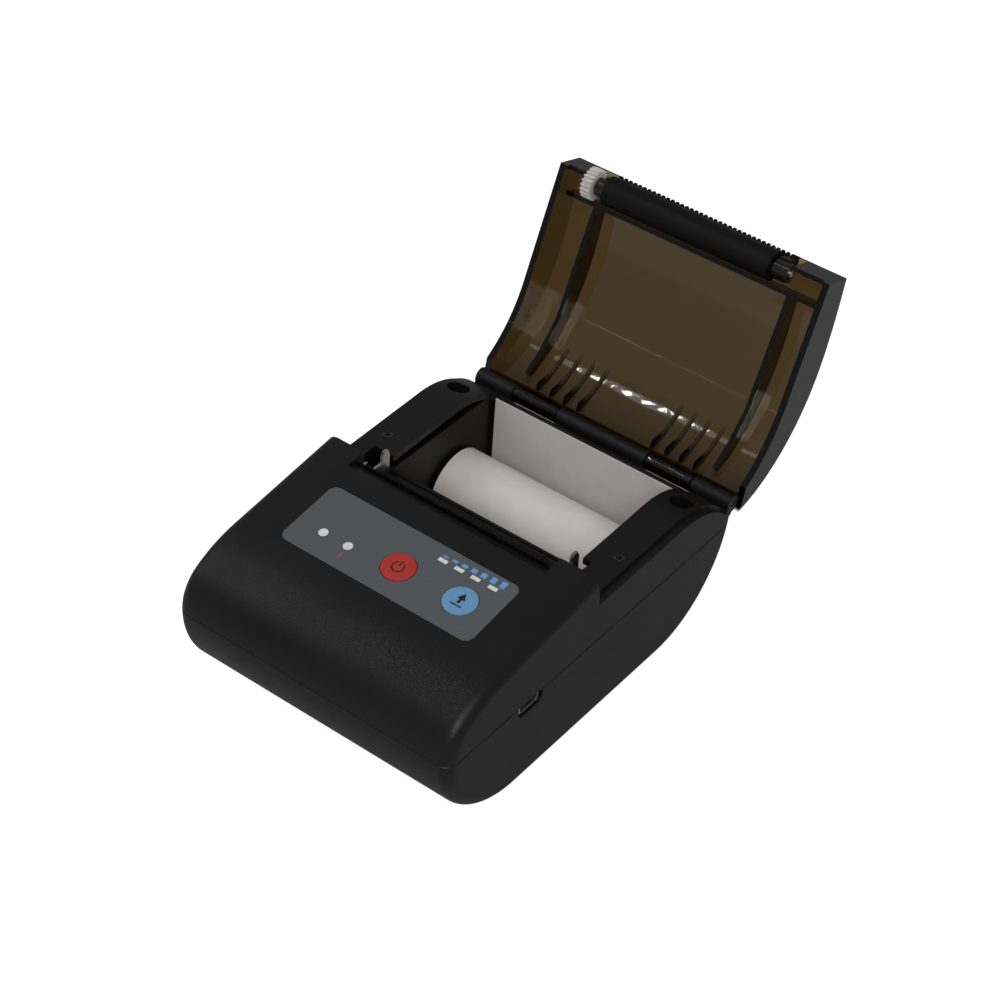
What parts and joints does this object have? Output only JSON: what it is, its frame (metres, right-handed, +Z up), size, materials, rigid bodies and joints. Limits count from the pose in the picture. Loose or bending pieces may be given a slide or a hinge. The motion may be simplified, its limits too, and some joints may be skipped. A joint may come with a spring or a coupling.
{
  "type": "portable receipt printer",
  "caption": "Handheld receipt printer with a rounded case, a smoked cover swung open on a rear hinge, a paper roll in its bin and a rubber platen in the cover's tip.",
  "frame": {"origin": "bottom centre of the whole object's box, under the feet", "axes": "+X to the right across the paper, +Y from the rounded nose to the hinge, +Z up"},
  "size_m": [0.084, 0.1593, 0.0845],
  "materials": {
    "case_black": "fine matt texture",
    "bin_black": "satin",
    "paper": "matt",
    "foot_rubber": "matt",
    "battery_sleeve": "shrink sleeve",
    "circuit_board": "satin",
    "chip_black": "matt",
    "bright_steel": "bright plated",
    "lamp_white": "clear and milky",
    "label_grey": "satin film",
    "power_red": "satin",
    "feed_blue": "satin",
    "head_ceramic": "glazed",
    "head_aluminium": "extruded",
    "motor_zinc": "satin",
    "motor_brass": "cut",
    "gear_white": "satin",
    "core_board": "card",
    "smoked_cover": "smoked and see-through",
    "platen_rubber": "ground"
  },
  "bodies": {
    "case": {"lower_case": "case_black", "upper_case": "case_black", "paper_bin": "bin_black", "paper_tail": "paper", "rubber_feet": "foot_rubber", "battery_door": "case_black", "battery_pack": "battery_sleeve", "main_board": "circuit_board", "board_chips": "chip_black", "usb_socket": "bright_steel", "button_board": "circuit_board", "tact_switches": "chip_black", "status_lamps": "lamp_white", "light_guides": "lamp_white", "panel_label": "label_grey", "mechanism_frame": "bright_steel", "paper_guide": "bin_black", "print_head": "head_ceramic", "heat_sink": "head_aluminium", "head_springs": "bright_steel", "tear_bar": "bright_steel", "stepper_motor": "motor_zinc", "idler_axle": "bright_steel", "case_screws": "bright_steel", "hinge_pin": "bright_steel"},
    "lid_body": {"lid": "smoked_cover", "roller_bracket": "bin_black", "left_bearing": "bin_black", "right_bearing": "bin_black"},
    "platen": {"platen_shaft": "bright_steel", "platen_rubber": "platen_rubber", "platen_gear": "gear_white"},
    "idler": {"idler_gear": "gear_white"},
    "pinion": {"motor_pinion": "motor_brass"},
    "power_key": {"power_button": "power_red"},
    "feed_key": {"feed_button": "feed_blue"},
    "roll": {"paper_roll": "paper", "paper_core": "core_board"}
  },
  "joints": [
    {"name": "lid_hinge", "type": "hinge", "parent": "case", "child": "lid_body", "pos_m": [0, 0.0391, 0.0317], "axis": [1, 0, 0], "range_deg": [0, 114]},
    {"name": "platen_spin", "type": "hinge", "parent": "lid_body", "child": "platen", "pos_m": [0, 0.07328, 0.08019], "axis": [1, 0, 0], "continuous": true},
    {"name": "idler_spin", "type": "hinge", "parent": "case", "child": "idler", "pos_m": [-0.033, -0.02091, 0.03403], "axis": [1, 0, 0], "continuous": true},
    {"name": "pinion_spin", "type": "hinge", "parent": "case", "child": "pinion", "pos_m": [-0.033, -0.02552, 0.0283], "axis": [1, 0, 0], "continuous": true},
    {"name": "power_press", "type": "slide", "parent": "case", "child": "power_key", "axis": [0, 0.1444, -0.9895], "range_m": [0, 0.0004], "stiffness_N_per_m": 2000},
    {"name": "feed_press", "type": "slide", "parent": "case", "child": "feed_key", "axis": [0, 0.1444, -0.9895], "range_m": [0, 0.0004], "stiffness_N_per_m": 2000},
    {"name": "roll_spin", "type": "hinge", "parent": "case", "child": "roll", "pos_m": [0, 0.0136, 0.0157], "axis": [1, 0, 0], "continuous": true}
  ],
  "couplings": [
    {"joint": "pinion_spin", "follows": "idler_spin", "ratio": -2.6}
  ]
}
